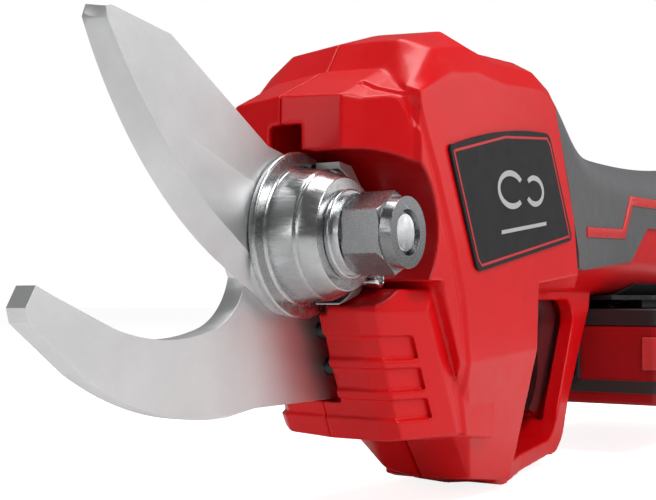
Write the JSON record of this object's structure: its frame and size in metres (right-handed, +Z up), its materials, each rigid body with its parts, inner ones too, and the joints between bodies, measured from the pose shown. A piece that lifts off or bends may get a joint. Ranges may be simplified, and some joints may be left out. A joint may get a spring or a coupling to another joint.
{
  "type": "battery electric pruner",
  "caption": "Cordless one-hand pruner: a pivoting blade closes on a fixed hook, driven by a motor through a planetary gearbox, with a guarded trigger and slide-on battery.",
  "frame": {"origin": "on the blade pivot axis, in the plane where the two blades slide on each other", "axes": "+X to the rear along the handle, +Z up, -Y out of the pivot nut"},
  "size_m": [0.3674, 0.0796, 0.1216],
  "materials": {
    "blade_steel": "satin-ground hardened steel",
    "turned_steel": "fine turned steel",
    "zinc_steel": "bright zinc-plated steel",
    "gear_steel": "oiled gear steel",
    "bronze": "sintered bronze",
    "cast_alloy": "die-cast, bead blasted",
    "black_metal": "black oxide",
    "copper": "enamelled copper",
    "red_shell": "semi-gloss moulded glass-filled nylon",
    "red_inlay": "semi-gloss moulded plastic",
    "battery_red": "semi-gloss moulded plastic",
    "pad_red": "fine-textured moulded plastic",
    "grip_rubber": "soft matt elastomer",
    "plate_black": "satin in-mould foil with a thin red line",
    "trigger_black": "polished black plastic",
    "black_plastic": "fine-textured moulded plastic",
    "band_black": "matt elastomer band",
    "button_grey": "fine-textured moulded plastic",
    "black_screw": "black-zinc screw",
    "spring_wire": "drawn spring wire",
    "board_green": "solder-resist varnish",
    "cell_wrap": "shrink sleeve"
  },
  "bodies": {
    "frame": {"hook_blade": "blade_steel", "clamp_hub": "turned_steel", "flat_washer": "zinc_steel", "spring_washer": "zinc_steel", "lock_nut": "zinc_steel", "pivot_bolt": "turned_steel", "ring_gear": "gear_steel", "gearbox_housing": "cast_alloy", "pinion_bearing": "turned_steel", "motor_plate": "cast_alloy", "motor_can": "black_metal", "motor_winding": "copper", "motor_bearings": "turned_steel", "left_housing": "red_shell", "right_housing": "red_shell", "housing_screws": "black_screw", "hook_screws": "black_screw", "locking_plate": "cast_alloy", "locking_screw": "turned_steel", "grip_left": "grip_rubber", "grip_inlay_left": "red_inlay", "grip_right": "grip_rubber", "grip_inlay_right": "red_inlay", "side_plate_left": "plate_black", "side_plate_right": "plate_black", "trigger_pin": "turned_steel", "trigger_spring": "spring_wire", "trigger_sensor": "black_plastic", "control_board": "board_green", "board_parts": "black_plastic", "button_collar": "black_plastic", "switch_block": "black_plastic", "battery_shoe": "black_plastic", "tool_terminals": "copper"},
    "blade": {"cutting_blade": "blade_steel", "gear_sector": "gear_steel", "sector_rivets": "zinc_steel", "pivot_bush": "bronze"},
    "pinion": {"drive_pinion": "gear_steel", "planet_carrier": "gear_steel"},
    "planet_1": {"planet_gear_1": "gear_steel"},
    "planet_2": {"planet_gear_2": "gear_steel"},
    "planet_3": {"planet_gear_3": "gear_steel"},
    "rotor": {"motor_rotor": "black_metal", "motor_shaft": "turned_steel", "sun_gear": "gear_steel"},
    "finger_trigger": {"trigger": "trigger_black"},
    "switch_cap": {"power_button": "button_grey"},
    "battery": {"battery_lower_case": "battery_red", "battery_upper_case": "black_plastic", "battery_band": "band_black", "battery_cells": "cell_wrap", "battery_pad_left": "pad_red", "battery_pad_right": "pad_red", "release_frame": "black_plastic"},
    "battery_release": {"release_button": "button_grey"}
  },
  "joints": [
    {"name": "blade_pivot", "type": "hinge", "parent": "frame", "child": "blade", "pos_m": [0, 0, 0], "axis": [0, -1, 0], "range_deg": [0, 50]},
    {"name": "pinion_spin", "type": "hinge", "parent": "frame", "child": "pinion", "pos_m": [0.02511, 0.0105, 0.00673], "axis": [0.9659, 0, 0.2588], "range_deg": [-217.67, 1]},
    {"name": "rotor_spin", "type": "hinge", "parent": "frame", "child": "rotor", "pos_m": [0.0483, 0.0105, 0.01294], "axis": [0.9659, 0, 0.2588], "range_deg": [-868.67, 2]},
    {"name": "planet_1_spin", "type": "hinge", "parent": "pinion", "child": "planet_1", "pos_m": [0.04981, 0.0105, 0.00341], "axis": [0.9659, 0, 0.2588], "range_deg": [-1, 652]},
    {"name": "planet_2_spin", "type": "hinge", "parent": "pinion", "child": "planet_2", "pos_m": [0.04609, 0.01881, 0.01732], "axis": [0.9659, 0, 0.2588], "range_deg": [-1, 652]},
    {"name": "planet_3_spin", "type": "hinge", "parent": "pinion", "child": "planet_3", "pos_m": [0.04609, 0.00219, 0.01732], "axis": [0.9659, 0, 0.2588], "range_deg": [-1, 652]},
    {"name": "trigger_pull", "type": "hinge", "parent": "frame", "child": "finger_trigger", "pos_m": [0.126, 0.002, -0.004], "axis": [0, -1, 0], "range_deg": [0, 9], "stiffness_Nm_per_rad": 0.9, "springref_deg": -8.59},
    {"name": "power_press", "type": "slide", "parent": "frame", "child": "switch_cap", "axis": [-0.515, 0, -0.8572], "range_m": [0, 0.001], "stiffness_N_per_m": 1200, "springref_m": -0.0012},
    {"name": "battery_slide", "type": "slide", "parent": "frame", "child": "battery", "axis": [1, 0, 0], "range_m": [0, 0.094]},
    {"name": "release_press", "type": "slide", "parent": "battery", "child": "battery_release", "axis": [1, 0, 0], "range_m": [0, 0.002], "stiffness_N_per_m": 900, "springref_m": -0.0015}
  ],
  "couplings": [
    {"joint": "pinion_spin", "follows": "blade_pivot", "ratio": -4.3333},
    {"joint": "rotor_spin", "follows": "blade_pivot", "ratio": -17.333},
    {"joint": "planet_1_spin", "follows": "blade_pivot", "ratio": 13},
    {"joint": "planet_2_spin", "follows": "blade_pivot", "ratio": 13},
    {"joint": "planet_3_spin", "follows": "blade_pivot", "ratio": 13}
  ]
}
